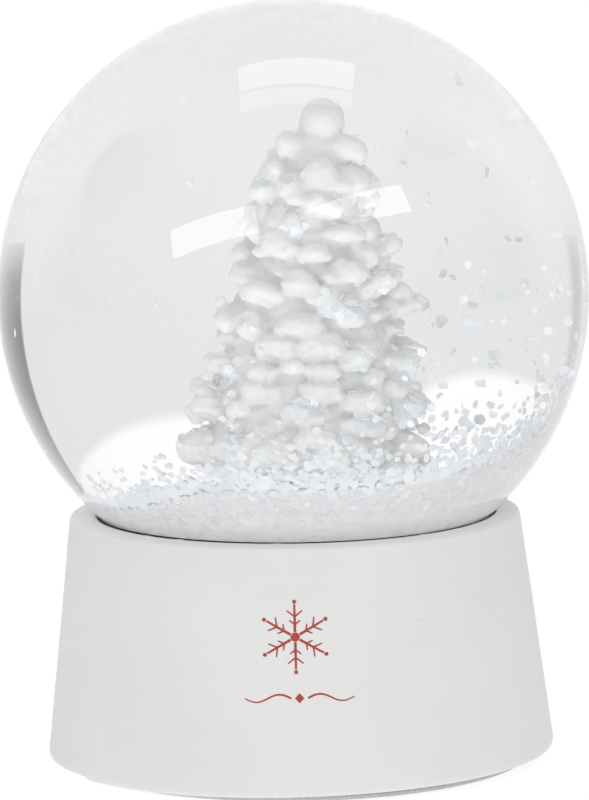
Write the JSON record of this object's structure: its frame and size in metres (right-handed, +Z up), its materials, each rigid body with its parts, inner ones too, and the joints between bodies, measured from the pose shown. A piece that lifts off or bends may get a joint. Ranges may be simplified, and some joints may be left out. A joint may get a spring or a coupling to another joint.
{
  "type": "snow globe",
  "caption": "Snow globe: a liquid-filled glass ball with a snowy fir tree and loose flakes, set in a flared round white plinth; the liquid and its snow swirl round.",
  "frame": {"origin": "centre of the foot pad's underside, on the axis of the ball and the plinth", "axes": "+Z up through the middle of the ball; -Y towards the printed front; the loose snow is drifted up towards +X"},
  "size_m": [0.065, 0.065, 0.0839],
  "materials": {
    "resin_white": "matte white paint on cast polyresin",
    "figure_white": "satin white paint on cast polyresin",
    "clear_glass": "polished blown glass",
    "liquid": "clear liquid",
    "snow": "thin white plastic chips",
    "rubber": "moulded rubber",
    "seal_black": "moulded rubber",
    "silicone": "cured silicone bead",
    "board": "pressed fibreboard",
    "pad": "felt",
    "print": "thin red printed paint, in the visual model only"
  },
  "bodies": {
    "plinth_and_ball": {"base_shell": "resin_white", "base_closing_disc": "board", "base_foot_pad": "pad", "glass_ball": "clear_glass", "seat_seal_ring": "seal_black", "neck_glue_ring": "silicone", "bung_sealant_ring": "silicone", "rubber_bung": "rubber", "snow_mound": "figure_white", "tree_figurine": "figure_white"},
    "liquid_and_snow": {"liquid_fill": "liquid", "loose_snow_bed": "snow", "snow_flake_01": "snow", "snow_flake_02": "snow", "snow_flake_03": "snow", "snow_flake_04": "snow", "snow_flake_05": "snow", "snow_flake_06": "snow", "snow_flake_07": "snow", "snow_flake_08": "snow", "snow_flake_09": "snow", "snow_flake_10": "snow", "snow_flake_11": "snow", "snow_flake_12": "snow", "snow_flake_13": "snow", "snow_flake_14": "snow", "snow_flake_15": "snow", "snow_flake_16": "snow", "snow_flake_17": "snow", "snow_flake_18": "snow", "snow_flake_19": "snow", "snow_flake_20": "snow", "snow_flake_21": "snow", "snow_flake_22": "snow", "snow_flake_23": "snow", "snow_flake_24": "snow", "snow_flake_25": "snow", "snow_flake_26": "snow", "snow_flake_27": "snow", "snow_flake_28": "snow", "snow_flake_29": "snow", "snow_flake_30": "snow", "snow_flake_31": "snow", "snow_flake_32": "snow"}
  },
  "joints": [
    {"name": "liquid_swirl", "type": "hinge", "parent": "plinth_and_ball", "child": "liquid_and_snow", "pos_m": [0, 0, 0.05145], "axis": [0, 0, 1], "continuous": true}
  ]
}
